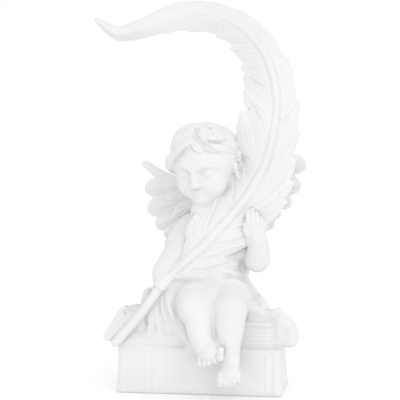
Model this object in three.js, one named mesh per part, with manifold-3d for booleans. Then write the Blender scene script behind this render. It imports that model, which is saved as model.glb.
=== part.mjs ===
// A plaster cherub seated on two stacked books, hugging a quill feather taller than itself, cast in one piece.
// Millimetres, +Z up, the front towards -Y. The origin is the middle of the lower book's underside.
import * as THREE from "three";
import { mergeVertices } from "three/addons/utils/BufferGeometryUtils.js";
import { RoundedBoxGeometry } from "three/addons/geometries/RoundedBoxGeometry.js";
import Module from "manifold-3d";

const wasm = await Module();
wasm.setup();

// Driving dimensions of the two books
const LOWER_BOOK = {
  length: 125.5,
  middle: 2.2,
  depth: 76,
  height: 36,
  board: 4,
  pageInset: 0.8,
  spineBulge: 2,
  backRound: 22,
};
const UPPER_BOOK = { left: -47, right: 58, front: -31, back: 33, height: 20, board: 3.4, pageInset: 1.5 };
const SPINE_BAND = { at: [-37, 55.5], width: 6, proud: 1.2 };
const BASE_FLARE = 0.03;
const PAGE_GROOVE = 0.7;

// Driving dimensions of the figure
const SEAT_HEIGHT = LOWER_BOOK.height + UPPER_BOOK.height;
const HEAD = { at: [5, -13, 174.5], turn: -16, nod: 14, roll: -3, skull: [25, 27.5, 25.5], size: 0.95 };
const WING_MIDDLE_X = 12.2;
const LEFT_WING = { lift: 14, reach: 0.8 };

// Driving dimensions of the quill
const QUILL_RADIUS = 3.5;
const VANE_EDGE = 2.2;
const VANE_CREST = 4.4;
const BARB_SLOPE = 0.05;
const BARB_LOBES = 16;
const BARB_NOTCH = 0.14;

// Slivers under this size, left where the forms meet, are merged away
const JOIN_TOLERANCE = 1;

const FRONT = [0, -1, 0];
const degrees = THREE.MathUtils.degToRad;
const clamp = THREE.MathUtils.clamp;
const lerp = THREE.MathUtils.lerp;
const vector = (p) => new THREE.Vector3(p[0], p[1], p[2]);

// A closed geometry as a solid that can be joined and cut
function toSolid(geometry, tolerance = 1e-4) {
  const bare = new THREE.BufferGeometry();
  bare.setAttribute("position", geometry.getAttribute("position").clone());
  bare.setIndex(geometry.index);
  const merged = mergeVertices(bare, tolerance);
  return new wasm.Manifold(
    new wasm.Mesh({
      numProp: 3,
      vertProperties: new Float32Array(merged.getAttribute("position").array),
      triVerts: new Uint32Array(merged.index.array),
    }),
  );
}

function toGeometry(solid) {
  const mesh = solid.getMesh();
  const corners = new Float32Array(mesh.numVert * 3);
  for (let i = 0; i < mesh.numVert; i++) {
    corners.set(mesh.vertProperties.subarray(i * mesh.numProp, i * mesh.numProp + 3), i * 3);
  }
  const geometry = new THREE.BufferGeometry();
  geometry.setAttribute("position", new THREE.BufferAttribute(corners, 3));
  geometry.setIndex(new THREE.BufferAttribute(mesh.triVerts, 1));
  return geometry;
}

const fuse = (solids) => solids.reduce((whole, solid) => whole.add(solid));

// A value that runs smoothly through the given ones as t goes from 0 to 1
function profile(values) {
  const curve = new THREE.CatmullRomCurve3(values.map((v) => new THREE.Vector3(v, 0, 0)), false, "catmullrom", 0.5);
  return (t) => curve.getPoint(t).x;
}

// A closed skin along a curve. section(t, side, front) gives the offsets across and towards the face, where side and
// front are the cosine and sine of the turn round the curve. Both ends close in a round nose.
function skin(curve, section, { sides = 8, rows = 5, caps = 1, face = FRONT, start = 0, end = 1 } = {}) {
  const total = rows + 2 * caps;
  const geometry = new THREE.SphereGeometry(1, sides, total);
  const position = geometry.getAttribute("position");
  const faceWay = vector(face);
  for (let row = 0; row <= total; row++) {
    const along = clamp((row - caps) / rows, 0, 1);
    const t = lerp(start, end, along);
    const nose = row < caps ? 1 - row / caps : row > total - caps ? 1 - (total - row) / caps : 0;
    const shrink = Math.cos((nose * Math.PI) / 2);
    const reach = Math.sin((nose * Math.PI) / 2) * (row < caps ? -1 : 1);
    const centre = curve.getPoint(t);
    const ahead = curve.getTangent(t);
    const across = new THREE.Vector3().crossVectors(faceWay, ahead).normalize();
    const out = new THREE.Vector3().crossVectors(ahead, across);
    const noseLength = Math.abs(section(t, 0, 1)[1]);
    for (let column = 0; column <= sides; column++) {
      const turn = (column / sides) * 2 * Math.PI;
      const [n, b] = section(t, -Math.cos(turn), Math.sin(turn));
      const point = centre
        .clone()
        .addScaledVector(ahead, reach * noseLength)
        .addScaledVector(across, n * shrink)
        .addScaledVector(out, b * shrink);
      position.setXYZ(row * (sides + 1) + column, point.x, point.y, point.z);
    }
  }
  return toSolid(geometry);
}

// A rounded limb through stations of [x, y, z, radius]; flat squeezes it along the face direction
function limb(stations, { flat = 1, ...options } = {}) {
  const curve = new THREE.CatmullRomCurve3(stations.map(vector));
  const radius = profile(stations.map((s) => s[3]));
  return skin(curve, (t, side, front) => [side * radius(t), front * radius(t) * flat], options);
}

// An ellipsoid, turned by Euler angles in degrees
function ball(at, radii, { turn = [0, 0, 0], across = 12, down = 8 } = {}) {
  const geometry = new THREE.SphereGeometry(1, across, down);
  geometry.rotateX(Math.PI / 2);
  geometry.scale(...radii);
  geometry.applyMatrix4(new THREE.Matrix4().makeRotationFromEuler(new THREE.Euler(...turn.map(degrees))));
  geometry.translate(...at);
  return toSolid(geometry);
}

function box(low, high, radius = 0) {
  const size = high.map((h, i) => h - low[i]);
  const geometry = radius
    ? new RoundedBoxGeometry(...size, 1, radius)
    : new THREE.BoxGeometry(...size);
  geometry.translate(...low.map((l, i) => (l + high[i]) / 2));
  return toSolid(geometry);
}

// A page block whose leaves show as steps on its edges
function pageBlock(low, high, leaves) {
  const step = (high[2] - low[2]) / leaves;
  const slabs = [];
  for (let leaf = 0; leaf < leaves; leaf++) {
    const inset = leaf % 2 ? PAGE_GROOVE : 0;
    slabs.push(
      box(
        [low[0] + inset, low[1] + inset, low[2] + leaf * step],
        [high[0] - inset, high[1] - inset, low[2] + (leaf + 1) * step],
      ),
    );
  }
  return fuse(slabs);
}

// The lower book: lying flat, its rounded spine to the front with raised bands, its leaves showing on the other edges
function lowerBook() {
  const { length, middle, depth, height, board, pageInset, spineBulge, backRound } = LOWER_BOOK;
  const front = -depth / 2;
  const round = 5;

  function spineProfile(proud) {
    const shape = new THREE.Shape();
    shape.moveTo(depth / 2, 0);
    shape.lineTo(depth / 2, height);
    shape.lineTo(front + round, height + proud);
    shape.quadraticCurveTo(front + 0.5 - proud, height + proud, front - proud, height - round);
    shape.quadraticCurveTo(front - spineBulge / 2 - proud, height / 2, front - proud, round);
    shape.quadraticCurveTo(front + 0.5 - proud, 0, front + round, 0);
    return shape;
  }

  function across(shape, from, to) {
    const geometry = new THREE.ExtrudeGeometry(shape, { depth: to - from, bevelEnabled: false, curveSegments: 3 });
    geometry.rotateX(Math.PI / 2);
    geometry.rotateZ(Math.PI / 2);
    geometry.translate(from, 0, 0);
    return toSolid(geometry);
  }

  const half = length / 2;
  const hollow = box(
    [-half - 1, front + 9, board],
    [half + 1, depth / 2 + 1, height - board],
  );
  const pages = pageBlock(
    [-half + pageInset, front + 6, board - 0.5],
    [half - pageInset, depth / 2 - pageInset, height - board + 0.5],
    5,
  );
  const bands = SPINE_BAND.at.map((at) => {
    const ring = across(spineProfile(SPINE_BAND.proud), at - SPINE_BAND.width / 2, at + SPINE_BAND.width / 2);
    return ring.intersect(box([at - 9, front - 9, 0], [at + 9, front + 8, height + 9]));
  });
  const book = fuse([across(spineProfile(0), -half, half).subtract(hollow), pages, ...bands]);
  const footprint = new THREE.Shape();
  footprint.moveTo(-half, front - 9);
  footprint.lineTo(half, front - 9);
  footprint.absarc(half - backRound, depth / 2 - backRound, backRound, 0, Math.PI / 2, false);
  footprint.absarc(backRound - half, depth / 2 - backRound, backRound, Math.PI / 2, Math.PI, false);
  const upright = new THREE.ExtrudeGeometry(footprint, { depth: height + 9, bevelEnabled: false, curveSegments: 2 });
  return book.intersect(toSolid(upright)).warp((v) => {
    v[0] = middle + v[0] * (1 + BASE_FLARE * (1 - v[2] / height));
  });
}

// The upper book: smaller, its fore edge to the front
function upperBook() {
  const { left, right, front, back, height, board, pageInset } = UPPER_BOOK;
  const floor = LOWER_BOOK.height - 0.5;
  const top = LOWER_BOOK.height + height;
  return fuse([
    box([left, front, floor], [right, back, floor + board], 1.2),
    box([left, front, top - board], [right, back, top], 1.2),
    pageBlock(
      [left + pageInset, front + pageInset, floor + board - 0.5],
      [right - pageInset, back - pageInset, top - board + 0.5],
      5,
    ),
  ]);
}

// The cloth: a mound of folds round the hips that spreads over the books, and the ruffles at its two ends
function cloth() {
  const folds = 9;
  const rows = 5;
  const around = 26;
  const low = [4, 3, SEAT_HEIGHT - 1];
  const rise = 36;
  const geometry = new THREE.SphereGeometry(1, around, rows, 0, 2 * Math.PI, 0, Math.PI);
  geometry.rotateX(Math.PI / 2);
  const position = geometry.getAttribute("position");
  for (let i = 0; i < position.count; i++) {
    const p = new THREE.Vector3().fromBufferAttribute(position, i);
    const turn = Math.atan2(p.y, p.x);
    const height = (p.z + 1) / 2;
    const spread = Math.pow(1 - height, 0.75) * Math.min(1, height * 7 + 0.85);
    const ripple = 1 + 0.07 * Math.cos(folds * turn) * (1 - height);
    const reach = lerp(0.42, 1, spread) * Math.sqrt(Math.max(0, 1 - Math.pow(2 * height - 1, 8))) * ripple;
    position.setXYZ(
      i,
      low[0] + 4 * height + 49 * reach * Math.cos(turn),
      low[1] + 29 * reach * Math.sin(turn),
      low[2] + rise * height,
    );
  }
  const mound = toSolid(geometry);
  const atRight = [
    limb([[-24, -6, 68, 8], [-35, -12, 73, 5.5], [-40.5, -17, 74.5, 4], [-42, -19, 69, 4]], { sides: 6, rows: 3 }),
    limb([[-36, -20, 60, 6], [-52, -26, 58.5, 6.6], [-61, -30.5, 50.5, 6.2], [-69, -34, 42.5, 3.6]], {
      sides: 6,
      rows: 4,
      flat: 0.6,
      face: [-0.35, -0.75, 0.55],
    }),
    limb([[-42, -20, 62, 3.4], [-57, -25, 62.5, 3.2], [-64, -28.5, 53, 3], [-71, -32, 43, 2]], { sides: 5, rows: 3 }),
    limb([[-56, -24, 46, 8], [-32, -23, 51, 9.5], [-14, -24, 52, 9.5]], { sides: 6, rows: 3 }),
    limb([[-4, -22, 88, 8], [-14, -27, 85, 6.5], [-20, -29, 78, 5], [-20, -30, 60, 4.8]], { sides: 6, rows: 4 }),
    limb([[-27, -30, 79, 3], [-25, -33, 65, 4.6], [-19, -33.5, 50, 4]], { sides: 5, rows: 3 }),
    limb([[-33, -29, 69, 3.4], [-34, -32.5, 60, 4.6], [-34, -33.5, 49, 4]], { sides: 5, rows: 3 }),
    limb([[-12, -29, 62, 6], [-9, -32, 48, 7], [-2, -35, 40, 6]], { sides: 6, rows: 3 }),
    limb([[-10, -31, 40, 4.6], [-32, -33, 41.5, 6], [-48, -33, 41, 6.4], [-58, -32, 40, 5.6]], {
      sides: 6,
      rows: 4,
      flat: 0.8,
    }),
    ball([-30, -20, 77], [7, 5, 10], { across: 7, down: 5 }),
  ];
  const atLeft = [
    limb([[30, -8, 70, 8], [40, -10, 70, 5.6], [46.5, -13, 69, 4.2], [50.5, -15, 62, 4]], { sides: 6, rows: 3 }),
    limb([[40, -18, 60, 5], [51, -19.5, 59.5, 4.4], [57.5, -20.5, 61.5, 3.6], [66, -20, 57, 5]], {
      sides: 6,
      rows: 4,
      flat: 0.8,
    }),
    ball([66.2, -18.5, 48.6], [9.6, 11.2, 14.6], { turn: [0, -28, 0], across: 10, down: 7 }),
    limb([[40, -20, 57, 5], [53, -19, 50, 8], [58, -16, 43, 7]], { sides: 6, rows: 3 }),
    limb([[28, -16, 66, 9], [40, -19, 65, 6.5], [48, -19, 61, 4]], { sides: 6, rows: 3 }),
  ];
  return fuse([mound, ...atRight, ...atLeft]);
}

// The trunk: hips, belly, chest and sloping shoulders under a thin tunic, whose hem crosses the left thigh
function trunk() {
  const hemFront = -30;
  const lapCloth = [
    limb([[-1, 4, 72, 18], [-4, -16, 74.5, 16.6], [-3.2, -29, 73, 14.8]], { sides: 9, rows: 3 }),
    limb([[18, 4, 72, 18], [23, -16, 74, 16.6], [25, hemFront, 73, 14.8]], { sides: 9, rows: 3 }),
    limb([[9, -8, 80, 15], [9.5, -24, 77, 11], [10.5, -36, 72, 9], [11, -42, 65, 8]], { sides: 8, rows: 3 }),
  ];
  // the plaster left under the chin, and between cheek, ear and feather
  const leftover = [
    ball([3, -18, 140], [10, 9, 8], { across: 8, down: 5 }),
    limb([[12, -18, 146, 6], [21, -14.5, 153, 6.5], [26, -11, 162, 7], [30, -6, 176, 7]], { sides: 6, rows: 3 }),
  ];
  return fuse([
    limb([[8, 6, 68, 22], [8, 1, 88, 21], [10, 3, 108, 20], [9, 2, 123, 15], [7, -4, 137, 12], [6, -9, 152, 12]], {
      sides: 10,
      rows: 6,
      flat: 0.86,
    }),
    limb([[-15, 4, 117, 10], [8, 6, 125, 12], [36, 5, 126, 10]], { sides: 8, rows: 4 }),
    ball([12, -12, 93], [20.5, 20, 19.5], { across: 10, down: 7 }),
    ball([9, -12, 111], [23, 17.5, 17.5], { across: 10, down: 7 }),
    limb([[34, 6, 116, 10], [30, 7, 102, 9], [27, 4, 90, 8], [25, 0, 80, 8]], { sides: 6, rows: 3 }),
    ...lapCloth,
    ...leftover,
  ]);
}

// Fingers or toes: a fan of small limbs from knuckle to tip
function digits(count, place) {
  const made = [];
  for (let i = 0; i < count; i++) {
    made.push(limb(place(count > 1 ? i / (count - 1) : 0), { sides: 5, rows: 2 }));
  }
  return made;
}

// Five toes in a row from the big one to the little one, each pointing down by the given angle
function toes(big, little, droop) {
  const made = [];
  const inset = 2.4;
  for (let i = 0; i < 5; i++) {
    const k = i / 4;
    const radius = lerp(2.9, 2, Math.sqrt(k));
    const at = big.map((v, axis) => lerp(v, little[axis], k));
    at[1] += inset * Math.cos(degrees(droop));
    at[2] += inset * Math.sin(degrees(droop));
    made.push(ball(at, [radius, radius * 1.9, radius], { turn: [droop, 0, 0], across: 5, down: 4 }));
  }
  return made;
}

// The right arm reaches down to the quill, and the hand closes round it
function rightArm() {
  const hand = [-24.4, -37.4, 87.2];
  return fuse([
    limb([[-10.5, -2, 118, 12], [-18, -19, 105.5, 11.2], [-24.6, -29, 93, 10], [-26, -33, 88.4, 7.6]], {
      sides: 8,
      rows: 4,
    }),
    limb([[-8, -1, 122, 13.4], [-14.5, -12, 113, 12.8], [-17, -15, 110, 12]], { sides: 8, rows: 2 }),
    limb([[-2, -14, 124, 9], [-10, -20, 112, 9], [-17, -26, 98, 8]], { sides: 6, rows: 3 }),
    ball([hand[0] - 1.4, hand[1] + 3, hand[2] + 0.4], [5.8, 6.2, 7.2], { turn: [0, 38, 0], across: 8, down: 6 }),
    ...digits(4, (k) => {
      const along = lerp(-5, 5.2, k);
      const across = [hand[0] + along * 0.59, hand[1], hand[2] + along * 0.81];
      return [
        [across[0] - 4.6, across[1] + 1.4, across[2] + 3, 2.2],
        [across[0] - 1.6, across[1] - 4.4, across[2] + 1, 2.3],
        [across[0] + 3.4, across[1] - 3, across[2] - 2.4, 2.1],
      ];
    }),
  ]);
}

// The left arm is folded up, and the flat hand presses the feather to the chest
function leftArm() {
  const knuckles = [39.2, -31, 128.5];
  return fuse([
    limb([[34, 4, 124, 11.5], [40, -9, 112.5, 10.2], [44.8, -21, 103.5, 9.2]], { sides: 8, rows: 3 }),
    limb([[45, -22.5, 102.8, 9.2], [46, -25, 110, 8.8], [46, -27, 117.5, 7.8], [45.2, -28.5, 122.5, 6.9]], {
      sides: 8,
      rows: 3,
    }),
    limb([[45, -28.4, 122, 7], [44.4, -29.6, 126.5, 7.8], [44, -30.6, 130.5, 7.6]], {
      sides: 8,
      rows: 2,
      flat: 0.52,
    }),
    ...digits(4, (k) => {
      const x = knuckles[0] + 10.2 * k;
      const tip = 143.2 - 12 * (k - 0.28) * (k - 0.28);
      return [
        [x + 0.5, knuckles[1], knuckles[2], 2.2],
        [x, knuckles[1] - 1.6, lerp(knuckles[2], tip, 0.45), 2.2],
        [x - 1, knuckles[1] + 0.6, tip - 1, 1.8],
      ];
    }),
    limb([[40.6, -29, 122.5, 3.3], [37.6, -30.8, 126, 2.8], [36.8, -31, 131, 2.4]], { sides: 6, rows: 3 }),
  ]);
}

// Both legs hang over the books, bare from the hem down; the right shin crosses towards the left ankle
function legs() {
  return fuse([
    limb([[-3, -14, 72, 16], [-3, -28, 72, 14.6], [-0.6, -40, 67.6, 12.6]], { sides: 9, rows: 3 }),
    limb([[-0.4, -42, 68, 12.1], [3.4, -47, 60, 11.2], [4.8, -49.5, 52, 10.3], [8.2, -51.5, 40.5, 8.3]], {
      sides: 8,
      rows: 4,
    }),
    limb([[8, -46, 41, 8], [11.5, -55, 40, 8], [13.6, -60, 36.4, 7.4]], {
      sides: 8,
      rows: 3,
      caps: 1,
      flat: 0.68,
      face: [-0.25, -0.6, 1],
    }),
    ...toes([22, -66.2, 35.2], [6.4, -64.2, 29.4], 45),
    limb([[22, -14, 72, 16], [24.5, -28, 71.5, 14.4], [26, -40, 67.5, 12.8]], { sides: 9, rows: 3 }),
    limb([[26.4, -42.5, 67, 12.4], [26.8, -47, 58, 11.8], [26.8, -49, 48, 10], [27, -50, 31, 7.3]], {
      sides: 8,
      rows: 4,
    }),
    limb([[27, -46, 31, 7.2], [27.2, -53.5, 27, 7.4], [27.8, -58, 22, 7.2]], {
      sides: 8,
      rows: 3,
      caps: 1,
      flat: 0.7,
      face: [0, -0.85, 0.6],
    }),
    ...toes([21.4, -63.2, 15.2], [34.8, -60.4, 16.6], 63),
    // the casting fills the hollow between the calves and the books
    limb([[10, -34, 60, 12], [14, -38, 48, 10], [19, -38, 34, 8]], { sides: 6, rows: 3 }),
  ]);
}

// The head in its own frame: the face towards -Y, tilted and turned into place at the end
function head() {
  const [wide, deep, tall] = HEAD.skull;
  const features = [
    ball([0, 0, 4], [wide, deep, tall], { across: 16, down: 9 }),
    ball([0, -7, -11], [19.5, 19, 17.5], { across: 12, down: 7 }),
    ball([0, -20.5, -22.5], [6.6, 6, 5.6], { across: 7, down: 5 }),
    limb([[0, -26, 3, 2.4], [0, -28.4, -3, 2.7], [0, -29.6, -6.6, 3.4]], { sides: 6, rows: 3 }),
    ball([0, -24.6, -15.2], [4.6, 2.9, 2.9], { across: 6, down: 5 }),
  ];
  for (const side of [-1, 1]) {
    features.push(
      ball([side * 10, -15.8, -10.5], [9.8, 9.4, 9.4], { across: 8, down: 6 }),
      ball([side * 9.2, -21.6, 0.2], [5.4, 3.8, 4], { across: 6, down: 5 }),
      ball([side * 26, 0, -3], [3, 5, 7], { turn: [12, 0, side * 18], across: 6, down: 5 }),
    );
  }
  return fuse([...features, hairCap(), ...frontLocks()]);
}

// The point on the scalp in a direction given by compass and height angles, stood proud of it by a distance
function scalp(compass, height, proud) {
  const [wide, deep, tall] = HEAD.skull;
  const flat = Math.cos(degrees(height));
  return [
    Math.sin(degrees(compass)) * flat * (wide + proud),
    -Math.cos(degrees(compass)) * flat * (deep + proud),
    4 + Math.sin(degrees(height)) * (tall + proud),
  ];
}

// The mass of the hair: a cap in waves that twist from the crown to the nape, open over the face
function hairCap() {
  const waves = 11;
  const geometry = new THREE.SphereGeometry(1, 26, 8);
  geometry.rotateX(Math.PI / 2);
  const position = geometry.getAttribute("position");
  for (let i = 0; i < position.count; i++) {
    const p = new THREE.Vector3().fromBufferAttribute(position, i);
    const height = THREE.MathUtils.radToDeg(Math.asin(clamp(p.z, -1, 1)));
    const compass = THREE.MathUtils.radToDeg(Math.atan2(p.x, -p.y));
    const fromFace = Math.hypot(compass / 78, (height + 34) / 70);
    const cover = THREE.MathUtils.smoothstep(fromFace, 0.86, 1.06);
    const ridge = Math.abs(Math.cos(degrees(compass * waves * 0.5 + 70 * Math.sin(degrees(height * 3.2)))));
    const ragged = height < -10 ? (height + 10) * 0.16 : 0;
    const proud = lerp(-4, 1.6 + 3.4 * ridge * Math.cos(degrees(height * 0.8)) + ragged, cover);
    position.setXYZ(i, ...scalp(compass, height, proud));
  }
  return toSolid(geometry);
}

// A lock of hair: it runs over the scalp from one direction to another, swaying aside on the way
function lock(from, to, sway, radius, proud) {
  const points = [];
  for (let i = 0; i <= 3; i++) {
    const t = i / 3;
    const compass = lerp(from[0], to[0], t) + sway * Math.sin(t * Math.PI * 1.5);
    const height = lerp(from[1], to[1], t);
    points.push([...scalp(compass, height, proud * (0.5 + Math.sin(t * Math.PI))), radius * (1 - 0.45 * t)]);
  }
  return limb(points, { sides: 5, rows: 3, face: [0, 0, 1] });
}

// The locks that frame the forehead, swept to both sides of the parting, and a curl above them
function frontLocks() {
  const parting = -14;
  return [
    lock([parting, 62], [parting - 34, 22], -10, 6.2, 2),
    lock([parting - 20, 58], [parting - 62, 14], -8, 6, 2),
    lock([parting + 4, 62], [parting + 58, 24], 10, 6.4, 2.2),
    lock([parting + 26, 66], [parting + 92, 26], 10, 6.4, 2.2),
    lock([parting + 40, 78], [parting + 60, 48], 8, 5.4, 3),
  ];
}

function placedHead() {
  const matrix = new THREE.Matrix4()
    .makeTranslation(...HEAD.at)
    .multiply(new THREE.Matrix4().makeRotationZ(degrees(HEAD.turn)))
    .multiply(new THREE.Matrix4().makeRotationX(degrees(HEAD.nod)))
    .multiply(new THREE.Matrix4().makeRotationY(degrees(HEAD.roll)))
    .multiply(new THREE.Matrix4().makeScale(HEAD.size, HEAD.size, HEAD.size));
  return head().transform(matrix.elements);
}

// A wing: a leading edge that ends in a raised tip, and below it a sheet of four broad feathers with round ends, told
// apart by grooves. side is -1 for the right wing.
function wing(side, lift, reach) {
  const place = ([x, y, z, r]) => {
    const out = x * (1 + 0.004 * lift);
    return [WING_MIDDLE_X + side * out, y, z + lift * (0.75 + 0.012 * x), r];
  };
  const feathers = 4;
  const rows = 4 * feathers;
  const outerEdge = profile([56, 64, 59, 50, 35]);
  const innerEdge = profile([30, 22, 16, 11, 8]);
  const stations = [0, 0.25, 0.5, 0.75, 1].map((t) =>
    place([(outerEdge(t) + innerEdge(t)) / 2, lerp(28, 20, t), lerp(160, 111, t)]),
  );
  const sheet = skin(
    new THREE.CatmullRomCurve3(stations.map(vector)),
    (t, across, front) => {
      const outward = across * side;
      const groove = Math.pow(Math.abs(Math.cos(feathers * Math.PI * t)), 3);
      const notch = outward > 0 ? 1 - 0.16 * outward * groove : 1;
      const half = ((outerEdge(t) - innerEdge(t)) / 2) * notch;
      return [across * half, front * (3.4 - 1.4 * groove)];
    },
    { sides: 6, rows },
  );
  const leading = limb(
    [
      place([4, 8, 122, 9]),
      place([9, 18, 138, 9]),
      place([24, 23, 149, 8]),
      place([42 * reach, 27, 157, 6]),
      place([54 * reach, 29, 164, 4]),
      place([63 * reach, 30, 171.5, 2.6]),
    ],
    { sides: 7, rows: 7, flat: 0.8 },
  );
  if (side < 0) return fuse([leading, sheet]);
  const lowest = limb([[24, 14, 134, 6], [40, 16, 130, 8], [54.5, 17, 125, 6]], { sides: 6, rows: 3, flat: 0.4 });
  return fuse([leading, sheet, lowest]);
}

// Stations along the rachis of the quill feather, from the nib at the lower book's corner, across the lap and the
// chest, up and over the head to the tip: x, y, z, then the reach of the barbs to the inner and to the outer side
const RACHIS = [
  [-61.5, -42, 40, 3, 3],
  [-42.6, -42, 61.7, 3.5, 3.5],
  [-24.2, -37.5, 87.6, 3, 4],
  [-10.2, -34.5, 101.8, 4.5, 19],
  [5.8, -31, 115.4, 21, 22.5],
  [33, -26, 146.5, 20, 28.5],
  [45.5, -21, 167, 26.5, 28.5],
  [53, -17, 186, 31.5, 22.5],
  [58.2, -13, 223.2, 27.5, 17.5],
  [49.5, -10, 258.4, 22.5, 13.5],
  [23.5, -9, 284.6, 18, 10],
  [-13.3, -10, 291, 15, 9],
  [-45.4, -13, 279.8, 9, 7],
  [-64, -15.5, 275.6, 7, 5.5],
  [-80.6, -17.3, 286.6, 3.4, 1.2],
];
const BEHIND_EAR = { station: 6, spread: 0.05, tuck: 18 };

// The quill feather: a bare round shaft below, and above it a vane of lobed barbs on both sides of a raised rib
function feather() {
  const rachis = new THREE.CatmullRomCurve3(RACHIS.map(vector));
  const inner = profile(RACHIS.map((s) => s[3]));
  const outer = profile(RACHIS.map((s) => s[4]));
  const shaft = limb(RACHIS.slice(0, 5).map(([x, y, z]) => [x, y, z, QUILL_RADIUS]), { rows: 6 });
  const vaneStart = 2.3 / (RACHIS.length - 1);
  const byEar = BEHIND_EAR.station / (RACHIS.length - 1);
  const vane = skin(
    rachis,
    (t, side, front) => {
      const along = (t - vaneStart) / (1 - vaneStart);
      const away = Math.abs(side);
      const barb = (((along - BARB_SLOPE * away) * BARB_LOBES) % 1 + 1) % 1;
      const lobe = 1 - BARB_NOTCH * away * Math.pow(barb, 1.5);
      const reach = (side > 0 ? inner(t) : outer(t)) * lobe;
      const depth = lerp(VANE_CREST, VANE_EDGE, away) * lerp(1, 0.62, along);
      const rib = away < 0.2 && front > 0 ? 1.1 : 0;
      const tuck = side > 0 ? BEHIND_EAR.tuck * Math.exp(-(((t - byEar) / BEHIND_EAR.spread) ** 2)) : 0;
      const curl = -(3 + tuck) * side * side;
      return [side * reach, front * (depth + rib) + curl];
    },
    { sides: 8, rows: 42, start: vaneStart },
  );
  return fuse([shaft, vane]);
}

// Everything is one casting
function casting() {
  const whole = fuse([
    lowerBook(),
    upperBook(),
    cloth(),
    trunk(),
    rightArm(),
    leftArm(),
    legs(),
    placedHead(),
    wing(-1, 0, 1),
    wing(1, LEFT_WING.lift, LEFT_WING.reach),
    feather(),
  ]);
  // slivers where the forms meet are merged away, and the outer skin alone is kept, with no pocket shut inside
  const joined = toSolid(toGeometry(whole.simplify(JOIN_TOLERANCE)), 1e-3);
  const outer = joined.decompose().reduce((best, shell) => (shell.volume() > best.volume() ? shell : best));
  const geometry = toGeometry(outer);
  geometry.computeVertexNormals();
  return geometry;
}

const plaster = new THREE.MeshStandardMaterial({ color: 0xf2f1ee, roughness: 0.75, metalness: 0 });
const statue = new THREE.Mesh(casting(), plaster);
statue.name = "angel_statue";

const group = new THREE.Group();
group.add(statue);

export default group;
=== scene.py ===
import math

import bmesh
import bpy
import numpy as np
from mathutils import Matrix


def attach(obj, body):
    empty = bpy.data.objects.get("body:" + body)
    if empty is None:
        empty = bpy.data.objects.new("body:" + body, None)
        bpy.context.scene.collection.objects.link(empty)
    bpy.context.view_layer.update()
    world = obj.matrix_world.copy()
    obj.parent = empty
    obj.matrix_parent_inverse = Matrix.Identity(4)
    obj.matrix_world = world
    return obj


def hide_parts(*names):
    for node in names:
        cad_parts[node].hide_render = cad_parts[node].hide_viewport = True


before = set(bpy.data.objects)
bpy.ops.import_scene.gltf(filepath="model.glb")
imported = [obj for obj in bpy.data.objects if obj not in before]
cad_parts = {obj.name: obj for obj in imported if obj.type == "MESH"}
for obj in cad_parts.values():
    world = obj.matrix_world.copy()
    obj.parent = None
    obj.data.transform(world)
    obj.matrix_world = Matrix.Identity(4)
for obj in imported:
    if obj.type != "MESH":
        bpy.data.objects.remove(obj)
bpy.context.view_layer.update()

import openvdb
from mathutils import Matrix, Vector

# THE LOWER BOOK AND THE CLAY
# The statue is one plaster casting, so every form goes into one block of modelling clay: a grid of
# distances to the surface, in millimetres. The first form is the lower book, flat on the ground with
# its spine to the front.
GRAIN = 0.6
BLOCK_LOW = np.array((-92.0, -78.0, -4.0))
BLOCK_HIGH = np.array((92.0, 46.0, 305.0))
FAR = 9.0
block = np.full(np.ceil((BLOCK_HIGH - BLOCK_LOW) / GRAIN).astype(int), FAR, np.float32)


def room(low, high):
    """The part of the block between two corners: its place, and the x, y and z of its grid points."""
    first = np.clip(np.floor((low - BLOCK_LOW) / GRAIN).astype(int), 0, np.array(block.shape) - 1)
    last = np.clip(np.ceil((high - BLOCK_LOW) / GRAIN).astype(int) + 1, first + 1, block.shape)
    axes = [(BLOCK_LOW[i] + GRAIN * np.arange(first[i], last[i])).astype(np.float32) for i in range(3)]
    return tuple(slice(a, b) for a, b in zip(first, last)), *axes


def join(place, distance, soft):
    """Adds a form, with a fillet of about the given size where it meets the clay already there."""
    part = block[place]
    fillet = np.maximum(soft - np.abs(part - distance), 0) / soft
    np.minimum(part, distance, out=part)
    part -= fillet * fillet * soft / 4


def carve(place, distance, soft):
    """Takes a form away, with its rim softened."""
    part = block[place]
    fillet = np.maximum(soft - np.abs(part + distance), 0) / soft
    np.maximum(part, -distance, out=part)
    part += fillet * fillet * soft / 4


def press(bm, soft):
    """Presses a closed mesh into the clay."""
    bmesh.ops.triangulate(bm, faces=bm.faces)
    bm.verts.index_update()
    points = np.array([v.co for v in bm.verts], np.float32)
    corners = np.array([[v.index for v in f.verts] for f in bm.faces], np.uint32)
    bm.free()
    points = ((points - BLOCK_LOW) / GRAIN).astype(np.float32)
    grid = openvdb.FloatGrid.createLevelSetFromPolygons(points, triangles=corners, halfWidth=5.0)
    low, high = grid.evalActiveVoxelBoundingBox()
    low = np.maximum(np.array(low), 0)
    high = np.minimum(np.array(high) + 1, block.shape)
    distance = np.zeros(high - low, np.float32)
    grid.copyToArray(distance, ijk=tuple(int(v) for v in low))
    join(tuple(slice(a, b) for a, b in zip(low, high)), distance * GRAIN, soft)


def slab(low, high, bevel=0.0, soft=0.6, shape=None):
    """A box between two corners with rounded edges."""
    low, high = np.array(low, float), np.array(high, float)
    bm = bmesh.new()
    bmesh.ops.create_cube(bm, size=1.0)
    bmesh.ops.scale(bm, vec=high - low, verts=bm.verts)
    bmesh.ops.translate(bm, vec=(low + high) / 2, verts=bm.verts)
    if bevel:
        limit = min(bevel, 0.45 * min(high - low))
        upright = [e for e in bm.edges if abs(e.verts[0].co.z - e.verts[1].co.z) > 1e-6]
        bmesh.ops.bevel(
            bm,
            geom=upright if limit < bevel else bm.edges[:],
            offset=bevel,
            segments=4,
            profile=0.5,
            affect="EDGES",
            material=-1,
        )
    if shape:
        for v in bm.verts:
            v.co = shape(v.co)
    press(bm, soft)


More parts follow.
